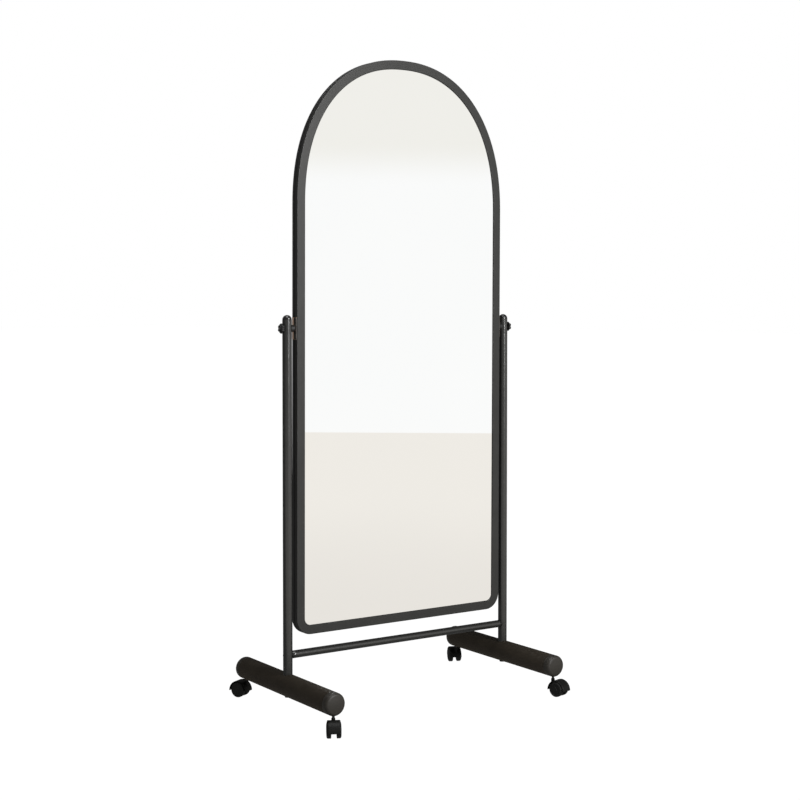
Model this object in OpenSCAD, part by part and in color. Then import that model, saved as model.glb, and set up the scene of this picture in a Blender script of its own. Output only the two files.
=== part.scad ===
// Rolling floor mirror: an arched mirror that tilts between two posts on castered feet.
// Millimetres. +X is the viewer's right, -Y is the side the mirror faces, +Z is up.
// The origin is on the floor, midway between the two posts.

/* [Mirror] */
// Width of the mirror frame, outside
mirror_w = 655; // [500:1:850]
// Height of the mirror frame, outside
mirror_h = 1503; // [1200:1:1800]
// Height of the arch above the straight sides
arch_rise = 392; // [280:1:430]
// Fullness of the arch: 2 is an ellipse, more is squarer
arch_power = 2.22; // [2:0.02:2.6]
// Outside radius of the two bottom corners
corner_r = 42; // [32:1:90]
// Thickness of the mirror glass
glass_t = 4; // [3:0.5:5]
// Thickness of the back panel
panel_t = 3; // [2:0.5:4]

/* [Frame profile] */
// Width of the frame seen from the front
frame_face = 23; // [18:0.5:30]
// Depth of the frame, front to back
frame_depth = 26; // [21:0.5:32]
// Thickness of the frame's outer wall
frame_wall = 2.5; // [2:0.1:3]
// Thickness of the frame's front, inner wall and rear flange
frame_web = 1.5; // [1.5:0.1:2.5]
// Width of the hollow chamber with its two walls
chamber_w = 14; // [12:0.5:16]
// Width of the groove along the frame's outer side
groove_w = 6; // [4:0.5:8]
// Depth of the groove along the frame's outer side
groove_d = 1; // [0.6:0.1:1.4]
// Thickness of the seal between frame and glass
seal_t = 0.75; // [0.5:0.25:3]
// Width of the seal that shows inside the frame
seal_lip = 1.25; // [1:0.25:5]

/* [Posts and crossbar] */
// Gap between the frame's side and each post
side_gap = 10; // [10:0.5:24]
// Outside diameter of the posts
post_d = 24.5; // [20:0.5:28]
// Wall thickness of the posts
post_wall = 1.2; // [1:0.1:2]
// Height of the post's rounded top above the pivot
post_over = 34.5; // [34:0.5:80]
// Outside diameter of the crossbar
bar_d = 20; // [16:0.5:22]
// Wall thickness of the crossbar
bar_wall = 1.5; // [1:0.1:2]
// Height of the crossbar's axis above the feet's axis
bar_rise = 77.5; // [60:0.5:160]
// Clear gap between the crossbar and the mirror above it
bar_gap = 38; // [20:0.5:80]

/* [Feet] */
// Outside diameter of the feet
foot_d = 58; // [50:1:70]
// Wall thickness of the feet
foot_wall = 2; // [1.5:0.1:3]
// Length of each foot with its end caps
foot_len = 476; // [380:1:600]
// Length of the part of each end cap that shows
cap_len = 22; // [21:0.5:40]
// Radius of the end cap's rounded rim
cap_fillet = 9; // [4:0.5:12]
// Height of the end cap's domed face
cap_dome = 1.5; // [0.5:0.1:3]
// Depth of the end cap inside the foot
cap_plug = 24; // [12:1:40]

/* [Casters] */
// Diameter of the wheels
wheel_d = 40; // [36:1:50]
// Width of each wheel
wheel_w = 10.8; // [8:0.2:14]
// Radius of the wheel's rounded outer edge
wheel_round = 3.5; // [2:0.5:5]
// Width of the hood's web between the two wheels
web_w = 13.5; // [13:0.5:18]
// Width of the hood
hood_w = 33; // [27:0.5:44]
// Room between the top of the wheel and the hood
hood_gap = 1.5; // [1:0.25:5]
// Distance of the hood's axis below the wheels' axis
hood_drop = 3; // [0:0.5:5]
// Wall thickness of the hood
hood_wall = 2.8; // [2:0.1:4]
// Height of the hood's lower edge above the floor
hood_edge = 17; // [12:0.5:18]
// Height of the gap between hood and foot
neck_gap = 6; // [6:0.5:14]
// Length of the stem that shows between neck and foot
stem_show = 5.5; // [2:0.5:12]
// Diameter of the hood's neck
neck_d = 10; // [9.5:0.25:13]
// Diameter of the caster stem
stem_d = 7; // [5:0.5:7.5]
// Diameter of the wheel axle
axle_d = 6; // [5:0.5:7]
// Distance of the axle behind the stem
trail = 19.5; // [15:0.5:21]
// Distance of the stem from the end of the foot
stem_inset = 15; // [13:0.5:18]
// Direction in which the front left caster trails, from +X
turn_front_left = 242; // [0:1:360]
// Direction in which the front right caster trails, from +X
turn_front_right = 284; // [0:1:360]
// Direction in which the back left caster trails, from +X
turn_back_left = 118; // [0:1:360]
// Direction in which the back right caster trails, from +X
turn_back_right = 67; // [0:1:360]

/* [Tilting pivot] */
// Height of the pivot above the frame's lower edge
pivot_up = 793; // [700:0.5:850]
// Lean of the mirror at rest, its top towards the viewer, in degrees
lean = 0.3; // [-10:0.1:10]
// Distance of the frame's middle behind the pivot
mirror_back = -0.5; // [-2:0.5:4]
// Diameter of the knob's stud
stud_d = 6; // [5:0.5:8]
// Outside diameter of the clamping knob
knob_d = 26; // [20:1:34]
// Thickness of the knob's lobed head
knob_t = 8.5; // [6:0.5:12]
// Number of lobes around the knob
knob_lobes = 6; // [5:1:9]
// Height of the pivot plate
plate_h = 56; // [46:1:80]
// Width of the pivot plate
plate_w = 20; // [16:0.5:21]
// Thickness of the pivot plate
plate_t = 2; // [1.5:0.1:3]
// Diameter of the plate's threaded boss
boss_d = 13; // [12:0.5:15]
// Diameter of the friction washer and the saddle
washer_d = 18; // [16:0.5:20]
// Thickness of the friction washer
washer_t = 2; // [1:0.25:3]

/* [Fasteners] */
// Diameter of the panel screws
panel_screw_d = 3; // [2.5:0.1:3.5]
// Number of panel screws on each straight side
side_screws = 5; // [3:1:8]
// Number of panel screws around the arch
arch_screws = 7; // [3:1:11]
// Number of panel screws along the lower edge
base_screws = 3; // [2:1:5]
// Distance of the first panel screws from the frame's curves
screw_margin = 30; // [15:1:60]
// Diameter of the plate and splice screws
wall_screw_d = 4; // [3:0.1:4.5]
// Diameter of the crossbar bolts
bar_bolt_d = 6; // [5:0.5:7]
// Diameter of the foot bolts
foot_bolt_d = 8; // [6:0.5:9]

/* [Hidden] */
$fn = 96;

// Clearances
running_gap = 0.06;   // radial, for a pin that turns in its bore
push_gap = 0.05;      // radial, for a piece pushed into its seat
body_gap = 0.3;       // between pieces that move past each other
edge_gap = 0.5;       // around the glass and the panel
cut_over = 1;         // how far a cut runs past a face

// Steps along the outline
arch_step = 3;
corner_step = 15;

// Heights
wheel_r = wheel_d / 2;
hood_r = wheel_r + hood_gap + hood_drop + hood_wall;
hood_axis_z = wheel_r - hood_drop;
hood_top_z = hood_axis_z + hood_r;
foot_bottom_z = hood_top_z + neck_gap;
foot_z = foot_bottom_z + foot_d / 2;
bar_z = foot_z + bar_rise;
mirror_z = bar_z + bar_d / 2 + bar_gap;
pivot_z = mirror_z + pivot_up;
post_top_z = pivot_z + post_over;
tube_top_z = post_top_z - post_d / 2;

// Side positions
saddle_t = 3.5;       // thinnest part of the saddle
post_r = post_d / 2;
post_x = mirror_w / 2 + side_gap + post_r;
plate_face_x = mirror_w / 2 + plate_t;
washer_face_x = post_x - post_r - saddle_t;
boss_face_x = washer_face_x - body_gap - washer_t;

// Depths of the layers in the frame, from its front
mid_y = mirror_back;
front_y = mirror_back - frame_depth / 2;
seal_y = front_y + frame_web;
glass_y = seal_y + seal_t;
board_y = glass_y + glass_t;
rear_y = front_y + frame_depth;
panel_y = rear_y - panel_t;
flange_y = panel_y - frame_web;
glass_inset = chamber_w + 1;
panel_inset = frame_wall + edge_gap;
screw_inset = chamber_w / 2 + 1;

// Foot and caps
foot_r = foot_d / 2;
foot_bore_r = foot_r - foot_wall;
tube_half = foot_len / 2 - cap_len;
cap_wall = 5;                       // wall of the cap's plug
cap_core_r = foot_bore_r - cap_wall;
stem_y = foot_len / 2 - stem_inset;
stem_over = 3;                      // the stem's end above the foot's axis
stem_up = foot_r + stem_over;
post_seat_z = foot_z - sqrt(pow(foot_bore_r, 2) - pow(post_r, 2)) + body_gap;

// Casters
hood_round = 3;                     // shoulders of the hood
lobe_r = 9;                         // web around the axle
neck_top_z = foot_bottom_z - stem_show;
wheel_play = 0.45;                  // between the web and each wheel
wheel_side = web_w / 2 + wheel_play;
stem_low_z = wheel_r + axle_d / 2 + 1;
neck_low_z = stem_low_z + 2;
wheel_face_t = 1.5;                 // face that closes the wheel's bore
wheel_dish = 1;                     // ring-shaped recess in the wheel's face
axle_len = 2 * (wheel_side + wheel_w - wheel_face_t - edge_gap);
CORNERS = [
    ["front_left", -1, -1, turn_front_left],
    ["front_right", 1, -1, turn_front_right],
    ["back_left", -1, 1, turn_back_left],
    ["back_right", 1, 1, turn_back_right]
];

// Pivot hardware
stud_r = stud_d / 2;
knob_face_x = post_x + post_r + edge_gap;
knob_boss_t = 1.5;
knob_end_x = knob_face_x + knob_t + knob_boss_t;
plate_reach = 7;      // screws and stud inside the frame's wall
stud_in_x = mirror_w / 2 - plate_reach;
bush_r = stud_r + 2;
bush_half = sqrt(pow(post_r, 2) - pow(bush_r, 2));
plate_screw_inset = 8;
plate_screw_z = plate_h / 2 - plate_screw_inset;
plate_groove_w = 2.4;
plate_groove_d = 0.8;
plate_groove_y = -2.7;

// Bolts
post_bore_r = post_r - post_wall;
post_cap_in = 12;     // plug of the post's cap inside the tube
bar_bore_r = bar_d / 2 - bar_wall;
plug_len = 20;        // threaded plugs in the tubes' ends
bolt_head_t = 3.5;
foot_head_t = 2.2;
access_t = 3;
bolt_head_r = bar_bolt_d * 0.75;
bolt_head_x = sqrt(pow(post_bore_r, 2) - pow(bolt_head_r, 2));
access_r = bolt_head_r + edge_gap;

// Splice
splice_len = 140;
splice_gap = 0.2;
splice_xs = [-50, -20, 20, 50];

black = [0.13, 0.13, 0.12];
charcoal = [0.28, 0.28, 0.27];
plastic = [0.10, 0.10, 0.10];
steel = [0.66, 0.66, 0.65];
brass = [0.72, 0.52, 0.34];

// ---------- outline of the mirror ----------

spring_z = mirror_h - arch_rise;

// A point of the arch at parameter t, from 0 (right) to 180 (left)
function arch_point(t) = [
    sign(cos(t)) * mirror_w / 2 * pow(abs(cos(t)), 2 / arch_power),
    spring_z + arch_rise * pow(abs(sin(t)), 2 / arch_power)
];

// The direction square to the arch there, one unit long
function arch_slope(t) = [
    sign(cos(t)) * pow(abs(cos(t)), 2 - 2 / arch_power) / mirror_w,
    pow(abs(sin(t)), 2 - 2 / arch_power) / (2 * arch_rise)
];
function arch_normal(t) = arch_slope(t) / norm(arch_slope(t));

// One bottom corner, from angle a0 to a0 + 90
function corner(side, a0, inset) = [
    for (a = [a0 : corner_step : a0 + 90])
        [side * (mirror_w / 2 - corner_r), corner_r] + (corner_r - inset) * [cos(a), sin(a)]
];

// The whole outline, moved inwards by inset
function outline(inset) = concat(
    corner(1, 270, inset),
    [for (t = [0 : arch_step : 180]) arch_point(t) - inset * arch_normal(t)],
    corner(-1, 180, inset)
);

// Extrudes a 2D shape on the mirror's plane from depth y0 back to y1
module mirror_layer(y0, y1) {
    translate([0, y1, mirror_z]) rotate([90, 0, 0]) linear_extrude(y1 - y0) children();
}

module mirror_plate(inset, y0, y1) {
    mirror_layer(y0, y1) polygon(outline(inset));
}

module mirror_ring(outer, inner, y0, y1) {
    mirror_layer(y0, y1) difference() {
        polygon(outline(outer));
        polygon(outline(inner));
    }
}

// ---------- helpers ----------

// Leans a piece of the mirror about the pivot
module leaning() {
    translate([0, 0, pivot_z]) rotate([lean, 0, 0]) translate([0, 0, -pivot_z]) children();
}

// A cylinder along X from x0 to x1 at height z
module rod_x(r, x0, x1, z) {
    translate([x0, 0, z]) rotate([0, 90, 0]) cylinder(r = r, h = x1 - x0);
}

// Puts a piece drawn for the right-hand side on the side given, -1 or 1
module on_side(side) {
    if (side > 0) children();
    else mirror([1, 0, 0]) children();
}

// Puts a piece drawn around a stem at the origin on one corner of the stand
module on_corner(corner_row) {
    translate([corner_row[1] * post_x, corner_row[2] * stem_y, 0]) children();
}

// The same, turned so that the caster's local -X is the way that it trails
module on_caster(corner_row) {
    on_corner(corner_row) rotate([0, 0, corner_row[3] + 180]) children();
}

// ---------- feet ----------

module foot(side) {
    color(black) difference() {
        translate([side * post_x, tube_half, foot_z]) rotate([90, 0, 0])
            cylinder(r = foot_r, h = 2 * tube_half);
        translate([side * post_x, tube_half + cut_over, foot_z]) rotate([90, 0, 0])
            cylinder(r = foot_bore_r, h = 2 * (tube_half + cut_over));
        translate([side * post_x, 0, foot_z])
            cylinder(r = post_r + push_gap, h = foot_r + cut_over);
        translate([side * post_x, 0, foot_bottom_z - cut_over])
            cylinder(r = foot_bolt_d / 2 + push_gap, h = foot_wall + 2 * cut_over);
    }
}

// Outline of an end cap: height along its axis from the joint with the tube
cap_flat = foot_r - cap_fillet;
cap_ball = (pow(cap_flat, 2) + pow(cap_dome, 2)) / (2 * cap_dome);
function cap_profile() = concat(
    [[0, 0], [foot_r, 0]],
    [for (a = [0 : 10 : 90])
        [cap_flat + cap_fillet * cos(a), cap_len - cap_dome - cap_fillet * (1 - sin(a))]],
    [for (r = [cap_flat - 4 : -4 : 1])
        [r, cap_len - cap_ball + sqrt(pow(cap_ball, 2) - pow(r, 2))]],
    [[0, cap_len]]
);

module cap(corner_row) {
    sx = corner_row[1] * post_x;
    color(black) difference() {
        union() {
            translate([sx, corner_row[2] * tube_half, foot_z])
                rotate([-90 * corner_row[2], 0, 0]) rotate_extrude() polygon(cap_profile());
            translate([sx, corner_row[2] * (tube_half - cap_plug), foot_z])
                rotate([-90 * corner_row[2], 0, 0]) difference() {
                    cylinder(r = foot_bore_r - push_gap, h = cap_plug);
                    translate([0, 0, -cut_over])
                        cylinder(r = cap_core_r, h = cap_plug + cut_over);
                }
        }
        on_corner(corner_row) translate([0, 0, foot_bottom_z - cut_over])
            cylinder(r = stem_d / 2 + push_gap, h = stem_up + cut_over + body_gap);
    }
}

// ---------- posts ----------

module post(side) {
    color(charcoal) difference() {
        translate([side * post_x, 0, post_seat_z])
            cylinder(r = post_r, h = tube_top_z - post_seat_z);
        translate([side * post_x, 0, post_seat_z - cut_over])
            cylinder(r = post_bore_r, h = tube_top_z - post_seat_z + 2 * cut_over);
        on_side(side) {
            rod_x(bush_r + push_gap, post_x - post_d, post_x + post_d, pivot_z);
            rod_x(bar_bolt_d / 2 + push_gap, post_x - post_d, post_x, bar_z);
            rod_x(access_r + push_gap, post_x, post_x + post_d, bar_z);
        }
    }
}

module post_cap(side) {
    color(plastic) translate([side * post_x, 0, tube_top_z]) {
        intersection() {
            sphere(r = post_r);
            cylinder(r = post_d, h = post_d);
        }
        translate([0, 0, -post_cap_in]) cylinder(r = post_bore_r - push_gap, h = post_cap_in);
    }
}

module post_plugs() {
    color(steel) for (side = [-1, 1]) translate([side * post_x, 0, post_seat_z]) difference() {
        cylinder(r = post_bore_r - push_gap, h = plug_len);
        translate([0, 0, -cut_over])
            cylinder(r = foot_bolt_d / 2 + push_gap, h = plug_len + 2 * cut_over);
    }
}

module foot_bolts() {
    color(black) for (side = [-1, 1]) translate([side * post_x, 0, foot_bottom_z]) {
        translate([0, 0, -foot_head_t]) cylinder(r = foot_bolt_d, h = foot_head_t);
        cylinder(r = foot_bolt_d / 2, h = post_seat_z - foot_bottom_z + plug_len - foot_head_t);
    }
}

// ---------- crossbar ----------

module crossbar() {
    reach = post_x - 1;
    color(charcoal) difference() {
        rod_x(bar_d / 2, -reach, reach, bar_z);
        rod_x(bar_bore_r, -reach - cut_over, reach + cut_over, bar_z);
        for (side = [-1, 1]) translate([side * post_x, 0, bar_z - bar_d])
            cylinder(r = post_r + push_gap, h = 2 * bar_d);
    }
}

// Threaded plugs inside the crossbar's ends
module crossbar_plugs() {
    plug_end = post_x - post_r - bar_wall;
    color(steel) for (side = [-1, 1]) on_side(side) difference() {
        rod_x(bar_bore_r - push_gap, plug_end - plug_len, plug_end, bar_z);
        rod_x(bar_bolt_d / 2 + push_gap, plug_end - plug_len - cut_over, plug_end + cut_over, bar_z);
    }
}

// Their heads bear on the inside of the post's wall
module crossbar_bolts() {
    head_x = post_x - bolt_head_x;
    color(steel) for (side = [-1, 1]) on_side(side) {
        rod_x(bolt_head_r, head_x, head_x + bolt_head_t, bar_z);
        rod_x(bar_bolt_d / 2, post_x - post_r - plug_len, head_x + bolt_head_t / 2, bar_z);
    }
}

// Plugs that close the bolts' access holes, flush with the post
module access_plugs() {
    color(plastic) for (side = [-1, 1]) on_side(side) intersection() {
        rod_x(access_r, post_x + post_bore_r - access_t, post_x + post_r, bar_z);
        translate([post_x, 0, bar_z - post_d]) cylinder(r = post_r, h = 2 * post_d);
    }
}

// ---------- mirror ----------

// Screw positions on the mirror's plane
side_run = spring_z - corner_r - 2 * screw_margin;
base_run = mirror_w - 2 * (corner_r + screw_margin);
screw_points = concat(
    [for (side = [-1, 1], i = [0 : side_screws - 1])
        [side * (mirror_w / 2 - screw_inset),
         corner_r + screw_margin + i * side_run / (side_screws - 1)]],
    [for (i = [1 : arch_screws])
        let (t = 180 * i / (arch_screws + 1)) arch_point(t) - screw_inset * arch_normal(t)],
    [for (i = [0 : base_screws - 1])
        [base_run * (i / (base_screws - 1) - 0.5) + screw_margin, screw_inset]]
);

module at_screws(y) {
    for (p = screw_points) translate([p[0], y, mirror_z + p[1]]) rotate([-90, 0, 0]) children();
}

module at_splice_screws() {
    for (x = splice_xs) translate([x, mid_y, mirror_z]) children();
}

// Moves a screw drawn at the pivot to each screw place of a pivot plate
module at_plate_screws() {
    for (dz = [-plate_screw_z, plate_screw_z]) translate([0, mid_y, dz]) children();
}

module mirror_frame() {
    color(charcoal) difference() {
        union() {
            mirror_ring(0, frame_face, front_y, seal_y);
            mirror_ring(0, frame_wall, seal_y, mid_y - groove_w / 2);
            mirror_ring(groove_d, frame_wall, mid_y - groove_w / 2, mid_y + groove_w / 2);
            mirror_ring(0, frame_wall, mid_y + groove_w / 2, flange_y);
            mirror_ring(chamber_w - frame_web, chamber_w, seal_y, flange_y);
            mirror_ring(0, chamber_w, flange_y, panel_y);
            mirror_ring(0, frame_wall, panel_y, rear_y);
        }
        at_screws(flange_y - cut_over)
            cylinder(r = panel_screw_d / 2 + push_gap, h = frame_web + 2 * cut_over);
        at_splice_screws() translate([0, 0, -cut_over])
            cylinder(r = wall_screw_d / 2 + push_gap, h = frame_wall + 2 * cut_over);
        for (side = [-1, 1]) on_side(side) {
            rod_x(stud_r + 1, mirror_w / 2 - frame_wall - cut_over, mirror_w / 2 + cut_over, pivot_z);
            at_plate_screws()
                rod_x(wall_screw_d / 2 + push_gap, mirror_w / 2 - frame_wall - cut_over,
                      mirror_w / 2 + cut_over, pivot_z);
        }
    }
}

// Bar inside the lower rail that closes the bent frame at its joint
module frame_splice() {
    low = mirror_z + frame_wall + splice_gap;
    high = mirror_z + chamber_w - frame_web - splice_gap;
    color(steel) difference() {
        translate([-splice_len / 2, seal_y + splice_gap, low])
            cube([splice_len, flange_y - seal_y - 2 * splice_gap, high - low]);
        at_splice_screws()
            cylinder(r = wall_screw_d / 2 + push_gap, h = chamber_w);
        at_screws(flange_y - cut_over - 6)
            cylinder(r = panel_screw_d / 2 + 0.5, h = 6 + cut_over);
    }
}

module splice_screws() {
    color(steel) at_splice_screws() {
        translate([0, 0, 0.1]) cylinder(r = groove_w / 2 - 0.2, h = groove_d - 0.1);
        cylinder(r = wall_screw_d / 2, h = chamber_w - frame_web - 1);
    }
}

module glass_seal() {
    color(plastic) mirror_ring(chamber_w + edge_gap, frame_face + seal_lip, seal_y, glass_y);
}

module mirror_glass() {
    color([0.86, 0.88, 0.88]) mirror_plate(glass_inset, glass_y, board_y);
}

module backing_board() {
    color([0.80, 0.74, 0.62]) mirror_plate(glass_inset, board_y, panel_y);
}

module back_panel() {
    color([0.16, 0.15, 0.15]) difference() {
        mirror_plate(panel_inset, panel_y, rear_y);
        at_screws(panel_y - cut_over)
            cylinder(r = panel_screw_d / 2 + 0.2, h = panel_t + 2 * cut_over);
    }
}

module panel_screws() {
    head_t = 1.6;
    color(steel) at_screws(rear_y) {
        cylinder(r = panel_screw_d, h = head_t);
        translate([0, 0, -panel_t - frame_web - 1])
            cylinder(r = panel_screw_d / 2, h = panel_t + frame_web + 1);
    }
}

// ---------- pivot ----------

module pivot_plate(side) {
    color(brass) on_side(side) difference() {
        union() {
            translate([mirror_w / 2, mid_y - plate_w / 2, pivot_z - plate_h / 2])
                cube([plate_t, plate_w, plate_h]);
            rod_x(boss_d / 2, plate_face_x - 0.5, boss_face_x, pivot_z);
        }
        rod_x(stud_r + running_gap, mirror_w / 2 - cut_over, boss_face_x + cut_over, pivot_z);
        at_plate_screws() {
            rod_x(wall_screw_d / 2 + push_gap, mirror_w / 2 - cut_over, plate_face_x + cut_over, pivot_z);
            translate([plate_face_x + 0.01, 0, pivot_z]) rotate([0, -90, 0])
                cylinder(r1 = wall_screw_d - 0.4, r2 = wall_screw_d / 2, h = wall_screw_d / 2 - 0.4);
        }
        for (z = [pivot_z - plate_h / 2 - cut_over, pivot_z + boss_d / 2 + 0.5])
            translate([plate_face_x - plate_groove_d, mid_y + plate_groove_y, z])
                cube([plate_groove_d + cut_over, plate_groove_w,
                      plate_h / 2 - boss_d / 2 - 0.5 + cut_over]);
    }
}

module plate_screws() {
    color(brass) for (side = [-1, 1]) on_side(side) at_plate_screws() {
        translate([plate_face_x, 0, pivot_z]) rotate([0, -90, 0])
            cylinder(r1 = wall_screw_d - 0.45, r2 = wall_screw_d / 2 - 0.05, h = wall_screw_d / 2 - 0.4);
        rod_x(wall_screw_d / 2, mirror_w / 2 - plate_reach, plate_face_x - 1, pivot_z);
    }
}

module friction_washer(side) {
    color(plastic) on_side(side) difference() {
        rod_x(washer_d / 2, boss_face_x, boss_face_x + washer_t, pivot_z);
        rod_x(stud_r + body_gap, boss_face_x - cut_over, washer_face_x, pivot_z);
    }
}

// Seats flat towards the washer and hollow against the post
module saddle(side) {
    color(plastic) on_side(side) difference() {
        rod_x(washer_d / 2, washer_face_x, post_x, pivot_z);
        translate([post_x, 0, pivot_z - washer_d])
            cylinder(r = post_r + push_gap, h = 2 * washer_d);
        rod_x(stud_r + body_gap, washer_face_x - cut_over, post_x, pivot_z);
    }
}

module pivot_bush(side) {
    color(plastic) on_side(side) difference() {
        rod_x(bush_r, post_x - bush_half, post_x + bush_half, pivot_z);
        rod_x(stud_r + running_gap, post_x - post_d, post_x + post_d, pivot_z);
    }
}

module knob(side) {
    lobe = knob_d / 7;
    color(plastic) on_side(side) difference() {
        union() {
            translate([knob_face_x, 0, pivot_z]) rotate([0, 90, 0]) linear_extrude(knob_t) {
                circle(r = knob_d / 2 - lobe * 0.7);
                for (i = [0 : knob_lobes - 1]) rotate(i * 360 / knob_lobes)
                    translate([knob_d / 2 - lobe, 0]) circle(r = lobe);
            }
            rod_x(knob_d / 4, knob_end_x - 2 * knob_boss_t, knob_end_x, pivot_z);
        }
        rod_x(stud_r, knob_face_x - cut_over, knob_end_x + cut_over, pivot_z);
    }
}

module stud(side) {
    color(steel) on_side(side) rod_x(stud_r, stud_in_x, knob_end_x, pivot_z);
}

// ---------- casters ----------

module stem(corner_row) {
    color(steel) on_corner(corner_row) translate([0, 0, stem_low_z])
        cylinder(r = stem_d / 2, h = foot_bottom_z + stem_up - stem_low_z);
}

// A hood that covers both wheels, with a web between them; the stem is at the origin
module hood(corner_row) {
    color(plastic) on_caster(corner_row) difference() {
        union() {
            intersection() {
                translate([-trail, hood_w / 2, hood_axis_z]) rotate([90, 0, 0])
                    rotate_extrude() hood_section();
                translate([-trail - hood_r - cut_over, -hood_w, hood_edge])
                    cube([2 * (hood_r + cut_over), 2 * hood_w, 2 * hood_r]);
            }
            translate([-trail, web_w / 2, wheel_r]) rotate([90, 0, 0]) cylinder(r = lobe_r, h = web_w);
            translate([0, 0, neck_low_z]) cylinder(r = neck_d / 2, h = neck_top_z - neck_low_z);
        }
        translate([0, 0, stem_low_z - body_gap])
            cylinder(r = stem_d / 2 + running_gap, h = foot_bottom_z);
        for (end = [0, 180])
            translate([-trail, 0, hood_axis_z]) rotate([90, 0, end]) translate([0, 0, web_w / 2])
                cylinder(r = hood_r - hood_wall, h = hood_w);
        translate([-trail, hood_w, wheel_r]) rotate([90, 0, 0])
            cylinder(r = axle_d / 2 + push_gap, h = 2 * hood_w);
    }
}

// Half section of the hood: radius across, width along, with rounded shoulders
module hood_section() {
    union() {
        square([hood_r - hood_round, hood_w]);
        translate([0, hood_round]) square([hood_r, hood_w - 2 * hood_round]);
        for (w = [hood_round, hood_w - hood_round])
            translate([hood_r - hood_round, w]) circle(r = hood_round);
    }
}

module axle(corner_row) {
    color(steel) on_caster(corner_row) translate([-trail, axle_len / 2, wheel_r])
        rotate([90, 0, 0]) cylinder(r = axle_d / 2, h = axle_len);
}

// Half section of a wheel: radius across, width along from its inner face
module wheel_section() {
    difference() {
        union() {
            square([wheel_r - wheel_round, wheel_w]);
            square([wheel_r, wheel_w - wheel_round]);
            translate([wheel_r - wheel_round, wheel_w - wheel_round]) circle(r = wheel_round);
        }
        translate([0, -cut_over])
            square([axle_d / 2 + running_gap, wheel_w - wheel_face_t + cut_over]);
        translate([axle_d, wheel_w - wheel_dish])
            square([wheel_r - wheel_round - axle_d - wheel_face_t, wheel_dish + cut_over]);
        translate([-wheel_r, -cut_over]) square([wheel_r, wheel_w + 2 * cut_over]);
    }
}

module wheel(corner_row, side) {
    color(plastic) on_caster(corner_row) translate([-trail, side * wheel_side, wheel_r])
        rotate([-90 * side, 0, 0]) rotate_extrude() wheel_section();
}

foot(-1);  // foot_left
foot(1);  // foot_right
cap(CORNERS[0]);  // cap_front_left
cap(CORNERS[1]);  // cap_front_right
cap(CORNERS[2]);  // cap_back_left
cap(CORNERS[3]);  // cap_back_right
post(-1);  // post_left
post(1);  // post_right
post_cap(-1);  // post_cap_left
post_cap(1);  // post_cap_right
post_plugs();
foot_bolts();
crossbar();
crossbar_plugs();
crossbar_bolts();
access_plugs();
pivot_bush(-1);  // pivot_bush_left
pivot_bush(1);  // pivot_bush_right
saddle(-1);  // saddle_left
saddle(1);  // saddle_right
stem(CORNERS[0]);  // stem_front_left
stem(CORNERS[1]);  // stem_front_right
stem(CORNERS[2]);  // stem_back_left
stem(CORNERS[3]);  // stem_back_right
leaning() mirror_frame();
leaning() frame_splice();
leaning() splice_screws();
leaning() glass_seal();
leaning() mirror_glass();
leaning() backing_board();
leaning() back_panel();
leaning() panel_screws();
leaning() pivot_plate(-1);  // pivot_plate_left
leaning() pivot_plate(1);  // pivot_plate_right
leaning() plate_screws();
leaning() friction_washer(-1);  // friction_washer_left
leaning() friction_washer(1);  // friction_washer_right
knob(-1);  // knob_left
knob(1);  // knob_right
stud(-1);  // stud_left
stud(1);  // stud_right
hood(CORNERS[0]);  // hood_front_left
hood(CORNERS[1]);  // hood_front_right
hood(CORNERS[2]);  // hood_back_left
hood(CORNERS[3]);  // hood_back_right
axle(CORNERS[0]);  // axle_front_left
axle(CORNERS[1]);  // axle_front_right
axle(CORNERS[2]);  // axle_back_left
axle(CORNERS[3]);  // axle_back_right
wheel(CORNERS[0], 1);  // wheel_front_left_a
wheel(CORNERS[0], -1);  // wheel_front_left_b
wheel(CORNERS[1], 1);  // wheel_front_right_a
wheel(CORNERS[1], -1);  // wheel_front_right_b
wheel(CORNERS[2], 1);  // wheel_back_left_a
wheel(CORNERS[2], -1);  // wheel_back_left_b
wheel(CORNERS[3], 1);  // wheel_back_right_a
wheel(CORNERS[3], -1);  // wheel_back_right_b
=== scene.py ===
"""Looks of the rolling floor mirror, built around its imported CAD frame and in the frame's axes."""
import math

import bmesh
import bpy
from mathutils import Matrix, Vector


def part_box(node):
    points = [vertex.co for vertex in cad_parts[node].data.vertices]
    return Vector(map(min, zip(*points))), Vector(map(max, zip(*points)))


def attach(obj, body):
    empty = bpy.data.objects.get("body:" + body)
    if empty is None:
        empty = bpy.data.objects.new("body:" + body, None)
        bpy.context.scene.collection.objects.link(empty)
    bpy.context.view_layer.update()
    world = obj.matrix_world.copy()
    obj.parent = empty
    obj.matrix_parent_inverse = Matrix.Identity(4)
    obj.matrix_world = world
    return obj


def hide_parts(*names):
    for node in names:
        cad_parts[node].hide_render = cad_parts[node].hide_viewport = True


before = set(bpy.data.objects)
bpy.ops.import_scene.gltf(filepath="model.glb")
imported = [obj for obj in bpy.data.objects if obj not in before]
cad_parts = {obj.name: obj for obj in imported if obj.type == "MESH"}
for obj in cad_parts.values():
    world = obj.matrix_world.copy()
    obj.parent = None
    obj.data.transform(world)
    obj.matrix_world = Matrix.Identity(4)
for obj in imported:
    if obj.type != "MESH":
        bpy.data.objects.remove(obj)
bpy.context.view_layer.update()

MM = 0.001
SIDES = (("left", -1), ("right", 1))

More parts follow.
